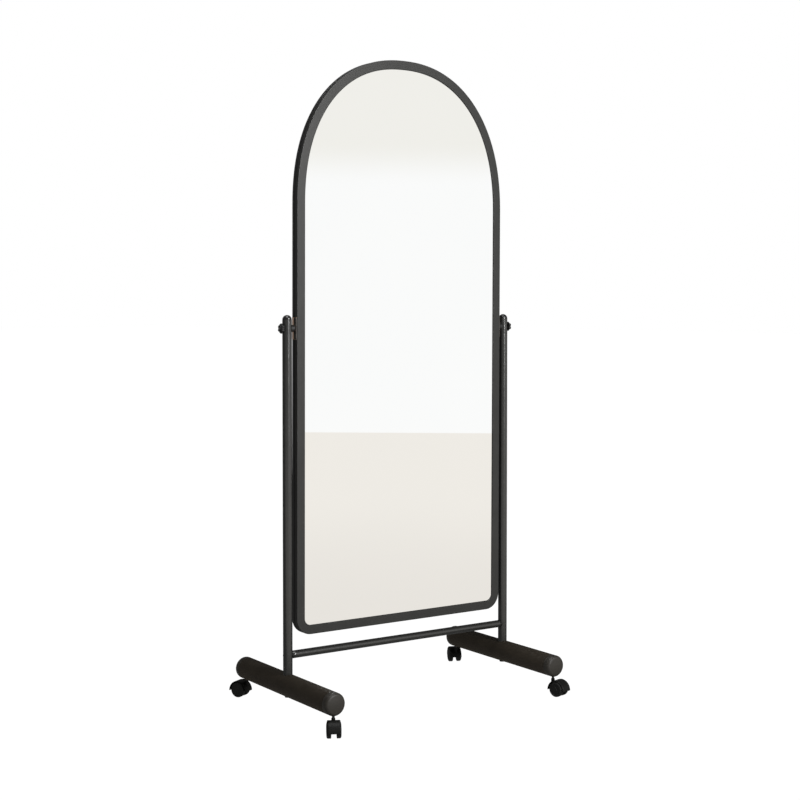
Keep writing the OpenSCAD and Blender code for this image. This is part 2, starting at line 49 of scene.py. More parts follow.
# ---------- sizes repeated from the part's source, in millimetres ----------
# mirror
MIRROR_W = 655.0
MIRROR_H = 1503.0
MIRROR_Z = 204.8         # its lower edge, above the floor
MIRROR_BACK = -0.5       # how far the frame's middle is behind the pivot
LEAN = 0.3               # of the mirror about the pivot, its top forwards, in degrees
ARCH_RISE = 392.0
ARCH_POWER = 2.22        # 2 is an ellipse, more is squarer
CORNER_R = 42.0
FRAME_FACE = 23.0
FRAME_DEPTH = 26.0
FRAME_WALL = 2.5
FRAME_WEB = 1.5
CHAMBER_W = 14.0
GROOVE_W = 6.0
GROOVE_D = 1.0
SEAL_T = 0.75
SEAL_LIP = 1.25
PANEL_T = 3.0
SIDE_SCREWS = 5
ARCH_SCREWS = 7
BASE_SCREWS = 3
SCREW_MARGIN = 30.0

# stand
POST_D = 24.5
POST_WALL = 1.2
POST_X = 349.75
BAR_D = 20.0
BAR_WALL = 1.5
BAR_Z = 156.8
FOOT_D = 58.0
FOOT_WALL = 2.0
FOOT_Z = 79.3
FOOT_LEN = 476.0
CAP_LEN = 22.0
CAP_FILLET = 9.0
CAP_DOME = 1.5

# pivot and knobs
PIVOT_Z = 997.8
PLATE_W = 20.0
PLATE_H = 56.0
PLATE_T = 2.0
BOSS_D = 13.0
KNOB_FACE_X = 362.5
KNOB_D = 26.0
KNOB_T = 8.5
KNOB_LOBES = 6
KNOB_BOSS_T = 1.5

# casters: name, side of the stand, end of the foot, and the way they trail in degrees
CASTERS = (("front_left", -1, -1, 242), ("front_right", 1, -1, 284),
           ("back_left", -1, 1, 118), ("back_right", 1, 1, 67))
STEM_Y = 223.0
STEM_D = 7.0
TRAIL = 19.5
WHEEL_R = 20.0
WHEEL_W = 10.8
WHEEL_ROUND = 3.5
WHEEL_PLAY = 0.45
WEB_W = 13.5
HOOD_W = 33.0
HOOD_R = 27.0
HOOD_WALL = 2.8
HOOD_AXIS_Z = 17.0
NECK_D = 10.0
NECK_TOP_Z = 44.8

# ---------- sizes of the looks alone, in millimetres ----------
PAINTED_LIGHT_SHEET_T = 0.4              # sheets of painted light on the pivot plates: dark painted shade of the gap between post and frame, and a lighter painted highlight on each plate's front edge
PAINTED_LIGHT_SHORT = 0.4          # how far they stop short of the plate's ends
SHADE_SHEET_LAP = 0.2            # how far they reach into the plate
PAINTED_LIGHT_ROUND = 0.1
BOSS_PLAY = 0.02         # between a boss and the dark sleeve of painted shade on it
SHADE_SLEEVE_T = 0.45
SHADE_SLEEVE_LEN = 1.6
SHADE_SLEEVE_START = 0.1
HEAD_R = 3.0             # a panel screw's head, and the dark cross of painted shade in it
HEAD_T = 1.6
CROSS_R = 1.5
CROSS_ARM = 0.3
CROSS_DEPTH = 0.3
CROSS_PROUD = 0.04
SEAT_GAP = 0.05          # between a cap's shoulder and the tube it closes
PLUG_PLAY = 0.1          # between a cap's plug and the tube around it
POST_PLUG = 11.0         # how far a cap's plug reaches into a post
FOOT_PLUG = 20.0         # and into a foot
PLUG_HOLLOW = 6.0
BUTTON_R = 5.0           # the access holes' plugs on the posts
BUTTON_PLUG = 2.75
BORE_R = 3.1             # the bores of wheels and knobs
KNOB_BORE_RIM = 0.05
HOOD_ROUND = 3.4
WEB_SHORT = 1.5          # how far the web's edge is inside the hood's
WEB_BORE = 0.6
HUB_R = 9.0
NECK_FOOT_Z = 26.0
NECK_INNER_Z = 40.0
RIM_W = 3.0              # the wheels' tread ring
RIM_STEP = 0.8
DISH_DEPTH = 1.0
DISH_R = 15.0
CORE_R = 6.4
AXLE_REACH = 7.5


# ---------- materials ----------
def material(name, colour, rough, metal=0.0, spec=0.5, coat=0.0, blotch=0.12, blotch_size=0.05,
             grain=0.05, grain_size=0.0012, bump=0.1, streak=(1, 1, 1), rough_var=0.06):
    """A procedural finish: broad tone variation, fine grain in tone and roughness, and a fine bump.
    Sizes are in metres, and streak stretches the grain along an axis."""
    mat = bpy.data.materials.new(name)
    mat.use_nodes = True
    tree = mat.node_tree
    shader = tree.nodes["Principled BSDF"]
    shader.inputs["Metallic"].default_value = metal
    shader.inputs["Specular IOR Level"].default_value = spec
    shader.inputs["Coat Weight"].default_value = coat
    shader.inputs["Coat Roughness"].default_value = 0.25

    def node(kind, **values):
        made = tree.nodes.new(kind)
        for key, value in values.items():
            if key in made.inputs:
                made.inputs[key].default_value = value
            else:
                setattr(made, key, value)
        return made

    where = node("ShaderNodeTexCoord")
    stretch = node("ShaderNodeMapping")
    stretch.inputs["Scale"].default_value = streak
    tree.links.new(where.outputs["Object"], stretch.inputs["Vector"])
    broad = node("ShaderNodeTexNoise", Scale=1 / blotch_size, Detail=3.0, Roughness=0.55)
    fine = node("ShaderNodeTexNoise", Scale=1 / grain_size, Detail=4.0, Roughness=0.6)
    tree.links.new(where.outputs["Object"], broad.inputs["Vector"])
    tree.links.new(stretch.outputs["Vector"], fine.inputs["Vector"])

    def mixed(low, high, source, low_in=0.3, high_in=0.7):
        ramp = node("ShaderNodeMapRange")
        ramp.inputs["From Min"].default_value = low_in
        ramp.inputs["From Max"].default_value = high_in
        ramp.inputs["To Min"].default_value = low
        ramp.inputs["To Max"].default_value = high
        tree.links.new(source.outputs["Fac"], ramp.inputs["Value"])
        return ramp

    tone = node("ShaderNodeMath", operation="MULTIPLY")
    tree.links.new(mixed(1 - blotch, 1 + blotch, broad).outputs["Result"], tone.inputs[0])
    tree.links.new(mixed(1 - grain, 1 + grain, fine).outputs["Result"], tone.inputs[1])
    shade = node("ShaderNodeVectorMath", operation="SCALE")
    shade.inputs[0].default_value = colour
    tree.links.new(tone.outputs["Value"], shade.inputs["Scale"])
    tree.links.new(shade.outputs["Vector"], shader.inputs["Base Color"])
    tree.links.new(mixed(rough - rough_var, rough + rough_var, fine).outputs["Result"],
                   shader.inputs["Roughness"])
    relief = node("ShaderNodeBump", Strength=bump, Distance=0.0003)
    tree.links.new(fine.outputs["Fac"], relief.inputs["Height"])
    tree.links.new(relief.outputs["Normal"], shader.inputs["Normal"])
    return mat


FOOT_COAT = material("foot_coat", (0.0215, 0.0170, 0.0120), 0.62, spec=0.12, bump=0.35, grain_size=0.0016)
CAP_MOULD = material("cap_mould", (0.0215, 0.0190, 0.0155), 0.48, spec=0.28, bump=0.12, grain_size=0.0010)
POST_COAT = material("post_coat", (0.0145, 0.0145, 0.0135), 0.25, spec=0.62, bump=0.08, grain_size=0.0008)
FRAME_COAT = material("frame_coat", (0.0145, 0.0145, 0.0135), 0.38, spec=0.34, bump=0.10,
                      grain_size=0.0008)
# also the finish of the dark crosses of painted shade in the panel screws' recesses
BLACK_TRIM_AND_RECESS_SHADE = material("trim_moulded_and_recess_shade", (0.008, 0.008, 0.008), 0.26, spec=0.5, bump=0.05)
STEEL = material("bright_steel", (0.46, 0.46, 0.45), 0.32, metal=1.0, bump=0.08, streak=(1, 1, 8))
ZINC_DARK = material("dark_zinc", (0.05, 0.05, 0.05), 0.38, metal=0.8, bump=0.08)
NYLON = material("nylon", (0.009, 0.009, 0.009), 0.45, spec=0.35, bump=0.08)
# also the finish of the dark sheets and sleeves of painted shade on the pivot plates
RUBBER_AND_PLATE_SHADE = material("seal_rubber_and_plate_shade", (0.007, 0.007, 0.007), 0.65, spec=0.25, bump=0.10)
BRONZE = material("plate_bronze", (0.62, 0.42, 0.30), 0.42, metal=0.55, bump=0.12, streak=(1, 1, 0.1))
# a lighter warm tone: the painted highlight on the pivot plates' front edges
PAINTED_HIGHLIGHT = material("painted_highlight_edge", (0.060, 0.053, 0.046), 0.50, spec=0.4, bump=0.10)
BOARD = material("board", (0.42, 0.33, 0.23), 0.85, spec=0.2, bump=0.3, streak=(1, 1, 0.2))
HARDBOARD = material("back_hardboard", (0.030, 0.028, 0.026), 0.72, spec=0.25, blotch=0.18,
                     blotch_size=0.12, grain=0.15, grain_size=0.002, bump=0.35)
SPLICE = material("mill_aluminium", (0.52, 0.52, 0.52), 0.35, metal=1.0, bump=0.06, streak=(0.1, 1, 1))
KNOB = material("knob_moulded", (0.006, 0.006, 0.006), 0.40, spec=0.30, bump=0.10)
CASTER = material("caster_moulded", (0.0055, 0.0055, 0.005), 0.46, spec=0.12, bump=0.08)
WHEEL = material("wheel_moulded", (0.0065, 0.0065, 0.006), 0.50, spec=0.25, bump=0.10)


def mirror_material():
    """Silvered glass: an almost perfect reflection with the faintest unevenness."""
    mat = bpy.data.materials.new("silvered_glass")
    mat.use_nodes = True
    tree = mat.node_tree
    shader = tree.nodes["Principled BSDF"]
    shader.inputs["Metallic"].default_value = 1.0
    where = tree.nodes.new("ShaderNodeTexCoord")
    cloud = tree.nodes.new("ShaderNodeTexNoise")
    cloud.inputs["Scale"].default_value = 3.0
    cloud.inputs["Detail"].default_value = 2.0
    tint = tree.nodes.new("ShaderNodeMix")
    tint.data_type = "RGBA"
    tint.inputs["A"].default_value = (0.945, 0.955, 0.950, 1)
    tint.inputs["B"].default_value = (0.965, 0.970, 0.965, 1)
    haze = tree.nodes.new("ShaderNodeMapRange")
    haze.inputs["To Min"].default_value = 0.004
    haze.inputs["To Max"].default_value = 0.016
    tree.links.new(where.outputs["Object"], cloud.inputs["Vector"])
    tree.links.new(cloud.outputs["Fac"], tint.inputs["Factor"])
    tree.links.new(cloud.outputs["Fac"], haze.inputs["Value"])
    tree.links.new(tint.outputs["Result"], shader.inputs["Base Color"])
    tree.links.new(haze.outputs["Result"], shader.inputs["Roughness"])
    return mat


GLASS = mirror_material()


# The pieces of the mirror are made upright and then leaned about the pivot
PIVOT = Vector((0, 0, PIVOT_Z * MM))
LEANING = (Matrix.Translation(PIVOT) @ Matrix.Rotation(math.radians(LEAN), 4, "X")
           @ Matrix.Translation(-PIVOT))


# ---------- profiles ----------
SUPPORT = 0.4            # from an arc to the point that keeps the flat beside it flat when shaded
EDGE_SHARE = 0.98        # how much of an edge the arcs at its ends may take up
NEARLY_STRAIGHT = 0.02   # a bend that gets no arc, in radians


def fillet(points, seg=4, closed=True, support=SUPPORT):
    """Rounds the corners of (a, b, radius) points, each with an arc of seg steps."""
    out = []
    count = len(points)

    def share(i, j):
        """The part of the edge from point i to point j that i's arc may take up."""
        if not closed and j in (0, count - 1):
            return EDGE_SHARE
        return EDGE_SHARE * points[i][2] / max(points[i][2] + points[j][2], 1e-9)

    for i, (a, b, radius) in enumerate(points):
        here = Vector((a, b))
        if not closed and i in (0, count - 1) or radius <= 0:
            out.append(here)
            continue
        before, after = (i - 1) % count, (i + 1) % count
        to_before = Vector(points[before][:2]) - here
        to_after = Vector(points[after][:2]) - here
        room_before, room_after = to_before.length, to_after.length
        to_before.normalize()
        to_after.normalize()
        half = math.acos(max(-1, min(1, to_before.dot(to_after)))) / 2
        if half > math.pi / 2 - NEARLY_STRAIGHT:
            out.append(here)
            continue
        back = min(radius / math.tan(half), share(i, before) * room_before, share(i, after) * room_after)
        radius = back * math.tan(half)
        centre = here + (to_before + to_after).normalized() * (radius / math.sin(half))
        start, end = here + to_before * back, here + to_after * back
        if room_before > 2 * back + 2 * support:
            out.append(start + to_before * support)
        first, last = start - centre, end - centre
        swing = math.pi - 2 * half
        turn = 1 if first.x * last.y - first.y * last.x > 0 else -1
        for k in range(seg + 1):
            angle = turn * swing * k / seg
            out.append(centre + Vector((first.x * math.cos(angle) - first.y * math.sin(angle),
                                        first.x * math.sin(angle) + first.y * math.cos(angle))))
        if room_after > 2 * back + 2 * support:
            out.append(end + to_after * support)
    return [(p.x, p.y) for p in out]


# ---------- mesh builder ----------
POLE_R = 1e-6            # a radius below this is a point on the axis
MERGE = 1e-7             # vertices closer than this become one, in metres


class Build:
    """Collects vertices in millimetres and faces, and makes one piece of them."""

    def __init__(self):
        self.verts = []
        self.faces = []

    def ring_rows(self, rows, wrap_rows, wrap_cols):
        """Joins rows of equal length into quads. A row of one point is a pole."""
        starts = []
        for row in rows:
            starts.append((len(self.verts), len(row)))
            self.verts.extend(row)
        pairs = list(zip(starts, starts[1:]))
        if wrap_rows:
            pairs.append((starts[-1], starts[0]))
        for (a, na), (b, nb) in pairs:
            steps = max(na, nb)
            for k in range(steps if wrap_cols else steps - 1):
                m = (k + 1) % steps
                quad = [a + (k if na > 1 else 0), a + (m if na > 1 else 0),
                        b + (m if nb > 1 else 0), b + (k if nb > 1 else 0)]
                face = list(dict.fromkeys(quad))
                if len(face) > 2:
                    self.faces.append(face)
        return starts

    def lathe(self, profile, place=Matrix.Identity(4), closed=False, segs=96, shape=None):
        """Turns (radius, height) points about the local Z axis. shape(angle, radius) may change a radius."""
        rows = []
        for radius, height in profile:
            if radius < POLE_R:
                rows.append([tuple(place @ Vector((0, 0, height)))])
                continue
            row = []
            for k in range(segs):
                angle = 2 * math.pi * k / segs
                r = shape(angle, radius) if shape else radius
                row.append(tuple(place @ Vector((r * math.cos(angle), r * math.sin(angle), height))))
            rows.append(row)
        self.ring_rows(rows, closed, True)

    def sector(self, section, place, start, end, segs):
        """Turns a closed (radius, height) section about local Z from start to end, with closed ends."""
        rows = []
        for k in range(segs + 1):
            angle = start + (end - start) * k / segs
            rows.append([tuple(place @ Vector((r * math.cos(angle), r * math.sin(angle), h)))
                         for r, h in section])
        starts = self.ring_rows(rows, False, True)
        self.faces.append(list(range(starts[0][0], starts[0][0] + starts[0][1])))
        self.faces.append(list(reversed(range(starts[-1][0], starts[-1][0] + starts[-1][1]))))

    def prism(self, outline, place, low, high, edge=0.4, seg=2):
        """A straight prism of a convex outline about the local Z axis, with rounded edges."""
        centre = Vector((sum(p[0] for p in outline), sum(p[1] for p in outline))) / len(outline)
        rows = []

        def ring(inset, height):
            row = []
            for x, y in outline:
                out = Vector((x, y)) - centre
                spot = centre + out * (1 - inset / out.length)
                row.append(tuple(place @ Vector((spot.x, spot.y, height))))
            return row

        rows.append([tuple(place @ Vector((centre.x, centre.y, low)))])
        rows.append(ring(edge + SUPPORT, low))
        for k in range(seg + 1):
            a = math.pi / 2 * k / seg
            rows.append(ring(edge * (1 - math.sin(a)), low + edge * (1 - math.cos(a))))
        for k in range(seg + 1):
            a = math.pi / 2 * k / seg
            rows.append(ring(edge * (1 - math.cos(a)), high - edge * (1 - math.sin(a))))
        rows.append(ring(edge + SUPPORT, high))
        rows.append([tuple(place @ Vector((centre.x, centre.y, high)))])
        self.ring_rows(rows, False, True)

    def piece(self, name, mat, body, nodes=(), slot=None):
        """Makes the mesh, puts it on a body and lets it take the place of the named CAD nodes."""
        mesh = bpy.data.meshes.new(name)
        mesh.from_pydata([tuple(c * MM for c in v) for v in self.verts], [], self.faces)
        if body == "mirror":
            mesh.transform(LEANING)
        mesh.validate()
        mesh.update()
        work = bmesh.new()
        work.from_mesh(mesh)
        bmesh.ops.remove_doubles(work, verts=work.verts, dist=MERGE)
        bmesh.ops.recalc_face_normals(work, faces=work.faces)
        work.to_mesh(mesh)
        work.free()
        for polygon in mesh.polygons:
            polygon.use_smooth = True
        mesh.materials.append(mat)
        obj = bpy.data.objects.new(name, mesh)
        bpy.context.scene.collection.objects.link(obj)
        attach(obj, body)
        if nodes:
            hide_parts(*nodes)
        return obj


def at(x, y, z, turn_to=None, spin=0.0):
    """A place in the frame: the local Z axis points along turn_to, a vector."""
    place = Matrix.Translation(Vector((x, y, z)))
    if turn_to is not None:
        place = place @ Vector((0, 0, 1)).rotation_difference(Vector(turn_to)).to_matrix().to_4x4()
    return place @ Matrix.Rotation(spin, 4, "Z")


# ---------- the mirror's outline ----------
SPRING_Z = MIRROR_H - ARCH_RISE


def signed_power(value, power):
    """The power of the value's size, with the value's sign."""
    return math.copysign(abs(value) ** power, value) if value else 0.0


def arch(angle):
    """A point of the arch and its outward normal; angle goes from 0 (right) to pi (left)."""
    c, s = math.cos(angle), math.sin(angle)
    spot = Vector((MIRROR_W / 2 * signed_power(c, 2 / ARCH_POWER),
                   SPRING_Z + ARCH_RISE * abs(s) ** (2 / ARCH_POWER)))
    slope = Vector((signed_power(c, 2 - 2 / ARCH_POWER) / MIRROR_W,
                    abs(s) ** (2 - 2 / ARCH_POWER) / (2 * ARCH_RISE)))
    return spot, slope.normalized()


def outline():
    """(point, outward normal) pairs around the mirror, from the bottom right corner upwards."""
    pairs = []
    corner_steps, arch_steps, side_steps = 12, 180, 12

    def corner(side, first):
        centre = Vector((side * (MIRROR_W / 2 - CORNER_R), CORNER_R))
        for k in range(corner_steps + 1):
            a = math.radians(first + 90 * k / corner_steps)
            normal = Vector((math.cos(a), math.sin(a)))
            pairs.append((centre + normal * CORNER_R, normal))

    def straight(x, low, high, normal):
        for k in range(1, side_steps):
            pairs.append((Vector((x, low + (high - low) * k / side_steps)), normal))

    corner(1, 270)
    straight(MIRROR_W / 2, CORNER_R, SPRING_Z, Vector((1, 0)))
    for k in range(arch_steps + 1):
        pairs.append(arch(math.pi * k / arch_steps))
    straight(-MIRROR_W / 2, SPRING_Z, CORNER_R, Vector((-1, 0)))
    corner(-1, 180)
    return pairs


OUTLINE = outline()


def sweep(build, profile):
    """Runs a closed (inset, depth) profile around the mirror's outline."""
    rows = [[((p - n * inset).x, depth, MIRROR_Z + (p - n * inset).y) for inset, depth in profile]
            for p, n in OUTLINE]
    build.ring_rows(rows, True, True)


# ---------- mirror ----------
FRONT_Y = MIRROR_BACK - FRAME_DEPTH / 2
REAR_Y = FRONT_Y + FRAME_DEPTH
SEAL_Y = FRONT_Y + FRAME_WEB
PANEL_Y = REAR_Y - PANEL_T
GROOVE_FRONT = MIRROR_BACK - GROOVE_W / 2
GROOVE_BACK = MIRROR_BACK + GROOVE_W / 2

rail = Build()
sweep(rail, fillet([
    (0, FRONT_Y, 1.1), (FRAME_FACE, FRONT_Y, 0.8), (FRAME_FACE, SEAL_Y, 0.3), (CHAMBER_W, SEAL_Y, 0.2),
    (CHAMBER_W, PANEL_Y, 0.3), (FRAME_WALL, PANEL_Y, 0.2), (FRAME_WALL, REAR_Y, 0.8),
    (0, REAR_Y, 0.8), (0, GROOVE_BACK, 0.3), (GROOVE_D, GROOVE_BACK, 0.25),
    (GROOVE_D, GROOVE_FRONT, 0.25), (0, GROOVE_FRONT, 0.3)], seg=5))
rail.piece("frame_rail", FRAME_COAT, "mirror", ["mirror_frame"], "frame_aluminium")

lip = Build()
sweep(lip, fillet([
    (CHAMBER_W + 0.5, SEAL_Y, 0.2), (FRAME_FACE + SEAL_LIP, SEAL_Y, 0.4),
    (FRAME_FACE + SEAL_LIP, SEAL_Y + SEAL_T, 0.1), (CHAMBER_W + 0.5, SEAL_Y + SEAL_T, 0.1)]))
lip.piece("seal_strip", RUBBER_AND_PLATE_SHADE, "mirror", ["glass_seal"], "seal_black")


def cross_recess_shade(build, place):
    """Painted shade of a pan head's cross recess: two crossed dark bars let into the head, which itself is
    not cut.
    """
    bar = [(-CROSS_R, -CROSS_ARM), (CROSS_R, -CROSS_ARM), (CROSS_R, CROSS_ARM), (-CROSS_R, CROSS_ARM)]
    for spin in (0, math.pi / 2):
        build.prism(fillet([(x, y, CROSS_ARM * 0.8) for x, y in bar], seg=3, support=0.05),
                    place @ Matrix.Rotation(spin, 4, "Z"), HEAD_T - CROSS_DEPTH, HEAD_T + CROSS_PROUD,
                    edge=0.05, seg=1)


def pan_head(build, place):
    build.lathe(fillet([(0, 0, 0), (HEAD_R, 0, 0.15), (HEAD_R, HEAD_T * 0.55, 0.3),
                        (HEAD_R * 0.78, HEAD_T * 0.95, 0.6), (0, HEAD_T, 0)], closed=False),
                place, segs=32)


def panel_screw_points():
    """The screws' points in the mirror's plane: both sides, then the arch, then the lower rail."""
    inset = CHAMBER_W / 2 + 1
    side_run = SPRING_Z - CORNER_R - 2 * SCREW_MARGIN
    base_run = MIRROR_W - 2 * (CORNER_R + SCREW_MARGIN)
    for side in (-1, 1):
        for i in range(SIDE_SCREWS):
            yield Vector((side * (MIRROR_W / 2 - inset),
                          CORNER_R + SCREW_MARGIN + i * side_run / (SIDE_SCREWS - 1)))
    for i in range(1, ARCH_SCREWS + 1):
        spot, normal = arch(math.pi * i / (ARCH_SCREWS + 1))
        yield spot - normal * inset
    for i in range(BASE_SCREWS):
        yield Vector((base_run * (i / (BASE_SCREWS - 1) - 0.5) + SCREW_MARGIN, inset))


SCREW_TURN = 0.7         # each screw's cross stands at another angle, in radians
heads, recess_shades = Build(), Build()
for number, spot in enumerate(panel_screw_points()):
    place = at(spot.x, REAR_Y, MIRROR_Z + spot.y, (0, 1, 0), spin=SCREW_TURN * number)
    pan_head(heads, place)
    cross_recess_shade(recess_shades, place)
heads.piece("panel_screw_heads", ZINC_DARK, "mirror", ["panel_screws"], "hardware_steel")
# the crosses are dark bars of painted shade in the recesses
recess_shades.piece("panel_screw_recess_shade", BLACK_TRIM_AND_RECESS_SHADE, "mirror", slot="hardware_steel")

# painted light on the pivot plates: dark sheets over each plate's front half and a dark sleeve on each boss
# are painted shade of the gap between post and frame, and a lighter strip over each plate's front edge is a
# painted highlight
SHADE_SHEET_BACK = MIRROR_BACK - PAINTED_LIGHT_SHORT
HIGHLIGHT_STRIP_FRONT = MIRROR_BACK - PLATE_W / 2 - PAINTED_LIGHT_SHEET_T
SHADE_SHEET_FRONT = HIGHLIGHT_STRIP_FRONT + PAINTED_LIGHT_SHEET_T
PAINTED_LIGHT_TOP = PLATE_H / 2 - PAINTED_LIGHT_SHORT
BOSS_R = BOSS_D / 2
BOSS_CLEAR = BOSS_R + 0.8      # where the painted-shade sheets above and below a boss end
FRONT_CLEAR = BOSS_R + 0.5     # where the painted-shade sheet in front of it ends
shade_sheets, highlight_strips, shade_sleeves = Build(), Build(), Build()


def painted_light_slab(build, sx, near, far, front, back, low, high):
    """One block of a painted-light sheet, used for both the painted shade and the painted highlight: near to
    far off the frame's side, and low to high off the pivot.
    """
    face = MIRROR_W / 2
    corners = [(face + near, front), (face + far, front), (face + far, back), (face + near, back)]
    slab = fillet([(sx * x, y, 0.12) for x, y in corners], seg=3, support=0.05)
    build.prism(slab, Matrix.Translation((0, 0, PIVOT_Z)), low, high, edge=PAINTED_LIGHT_ROUND, seg=2)


for side, sx in SIDES:
    lap, face = PLATE_T - SHADE_SHEET_LAP, PLATE_T + PAINTED_LIGHT_SHEET_T
    for low, high in ((-PAINTED_LIGHT_TOP, -BOSS_CLEAR), (BOSS_CLEAR, PAINTED_LIGHT_TOP)):
        painted_light_slab(shade_sheets, sx, lap, face, SHADE_SHEET_FRONT, SHADE_SHEET_BACK, low, high)
    painted_light_slab(shade_sheets, sx, lap, face - 0.05, SHADE_SHEET_FRONT, -FRONT_CLEAR, -PAINTED_LIGHT_TOP, PAINTED_LIGHT_TOP)
    # the lighter strip over the plate's front edge is a painted highlight
    painted_light_slab(highlight_strips, sx, 0.1, face, HIGHLIGHT_STRIP_FRONT, SHADE_SHEET_FRONT, -PAINTED_LIGHT_TOP, PAINTED_LIGHT_TOP)
    # the dark sleeve over the bronze boss is painted shade
    inner, outer = BOSS_R + BOSS_PLAY, BOSS_R + SHADE_SLEEVE_T
    shade_sleeves.lathe([(inner, SHADE_SLEEVE_START), (outer, SHADE_SLEEVE_START), (outer, SHADE_SLEEVE_LEN - 0.2),
                   (outer - 0.15, SHADE_SLEEVE_LEN), (inner, SHADE_SLEEVE_LEN)],
                  at(sx * (MIRROR_W / 2 + PLATE_T), 0, PIVOT_Z, (sx, 0, 0)), segs=64)
shade_sheets.piece("plate_painted_shade", RUBBER_AND_PLATE_SHADE, "mirror", slot="nylon_black")
highlight_strips.piece("plate_painted_highlight", PAINTED_HIGHLIGHT, "mirror", slot="nylon_black")
shade_sleeves.piece("boss_painted_shade", RUBBER_AND_PLATE_SHADE, "mirror", slot="nylon_black")

# ---------- posts, crossbar, feet ----------
POST_R = POST_D / 2
POST_BORE = POST_R - POST_WALL
FOOT_R = FOOT_D / 2
FOOT_BORE = FOOT_R - FOOT_WALL
FOOT_HALF = FOOT_LEN / 2 - CAP_LEN     # half of the tube between the end caps


def post_cap_profile(base):
    """A plug inside the post and, from its top end at base, a dome of the post's own radius."""
    dome_steps = 16
    plug = POST_BORE - PLUG_PLAY
    low = base - POST_PLUG
    points = [(0, low), (plug - 0.2, low), (plug, low + 0.4), (plug, base + SEAT_GAP),
              (POST_R - 0.45, base + SEAT_GAP), (POST_R - 0.12, base + 0.3), (POST_R - 0.05, base + 0.9)]
    for k in range(3, dome_steps):
        a = math.pi / 2 * k / dome_steps
        points.append((POST_R * math.cos(a), base + POST_R * math.sin(a)))
    return points + [(0, base + POST_R)]


for side, sx in SIDES:
    low, high = (corner[2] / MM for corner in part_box("post_" + side))
    foot, post, cap = Build(), Build(), Build()
    post.lathe(fillet([(POST_R, low, 0.2), (POST_R, high, 0.35),
                       (POST_BORE, high, 0.3), (POST_BORE, low, 0.2)]),
               at(sx * POST_X, 0, 0), closed=True, segs=128)
    post.piece("post_tube_" + side, POST_COAT, "stand", ["post_" + side], "post_grey")
    cap.lathe(post_cap_profile(high), at(sx * POST_X, 0, 0), segs=128)
    cap.piece("post_dome_" + side, BLACK_TRIM_AND_RECESS_SHADE, "stand", ["post_cap_" + side], "trim_black")
    foot.lathe(fillet([(FOOT_R, -FOOT_HALF, 0.5), (FOOT_R, FOOT_HALF, 0.5),
                       (FOOT_BORE, FOOT_HALF, 0.3), (FOOT_BORE, -FOOT_HALF, 0.3)]),
               at(sx * POST_X, 0, FOOT_Z, (0, 1, 0)), closed=True, segs=160)
    foot.piece("foot_tube_" + side, FOOT_COAT, "stand", ["foot_" + side], "foot_black")


def crossbar():
    """A tube whose ends are cut to the posts' round, with a small bevel at each end."""
    bar = Build()
    segs = 96
    bevel = 0.3
    reach = POST_R + SEAT_GAP

    def ring(side, back, radius):
        """A ring at a distance from the post on that side; side 0 is the middle of the bar."""
        row = []
        for k in range(segs):
            a = 2 * math.pi * k / segs
            y, z = radius * math.cos(a), radius * math.sin(a)
            x = side * (POST_X - math.sqrt(reach ** 2 - y ** 2) - back) if side else 0.0
            row.append((x, y, BAR_Z + z))
        return row

    rows = [ring(-1, 0, BAR_D / 2 - bevel), ring(-1, bevel, BAR_D / 2), ring(-1, 12, BAR_D / 2),
            ring(0, 0, BAR_D / 2),
            ring(1, 12, BAR_D / 2), ring(1, bevel, BAR_D / 2), ring(1, 0, BAR_D / 2 - bevel),
            ring(1, 0, BAR_D / 2 - BAR_WALL), ring(-1, 0, BAR_D / 2 - BAR_WALL)]
    bar.ring_rows(rows, True, True)
    bar.piece("crossbar_tube", POST_COAT, "stand", ["crossbar"], "post_grey")


crossbar()

buttons = Build()
for side, sx in SIDES:
    low = POST_R - BUTTON_PLUG
    rise = [(0, low), (BUTTON_R, low), (BUTTON_R, POST_R - 0.55), (BUTTON_R - 0.4, POST_R - 0.25),
            (BUTTON_R - 1.4, POST_R), (0, POST_R + 0.1)]
    buttons.lathe(fillet([(r, h, 0.25) for r, h in rise], closed=False, seg=3),
                  at(sx * POST_X, 0, BAR_Z, (sx, 0, 0)), segs=48)
buttons.piece("access_buttons", BLACK_TRIM_AND_RECESS_SHADE, "stand", ["access_plugs"], "trim_black")


# ---------- end caps ----------
def end_cap_profile():
    """A plug inside the foot, a rim with a rounded edge and a slightly domed face."""
    fillet_steps, dome_steps = 12, 9
    flat = FOOT_R - CAP_FILLET
    ball = (flat ** 2 + CAP_DOME ** 2) / (2 * CAP_DOME)
    rim = CAP_LEN - CAP_DOME - CAP_FILLET
    plug = FOOT_BORE - PLUG_PLAY
    points = [(0, -FOOT_PLUG), (FOOT_R - PLUG_HOLLOW, -FOOT_PLUG), (plug - 0.1, 0.5 - FOOT_PLUG),
              (plug, SEAT_GAP), (FOOT_R - 0.9, SEAT_GAP), (FOOT_R - 0.35, 0.25), (FOOT_R - 0.06, 0.8),
              (FOOT_R, 1.6), (FOOT_R, rim - 0.8)]
    for k in range(fillet_steps + 1):
        a = math.pi / 2 * k / fillet_steps
        points.append((flat + CAP_FILLET * math.cos(a), rim + CAP_FILLET * math.sin(a)))
    for k in range(1, dome_steps):
        r = flat * (1 - k / dome_steps)
        points.append((r, CAP_LEN - ball + math.sqrt(ball ** 2 - r ** 2)))
    return points + [(0, CAP_LEN)]


for corner, sx, sy, _ in CASTERS:
    cap = Build()
    cap.lathe(end_cap_profile(), at(sx * POST_X, sy * FOOT_HALF, FOOT_Z, (0, sy, 0)), segs=160)
    cap.piece("end_cap_" + corner, CAP_MOULD, "stand", ["cap_" + corner], "cap_black")


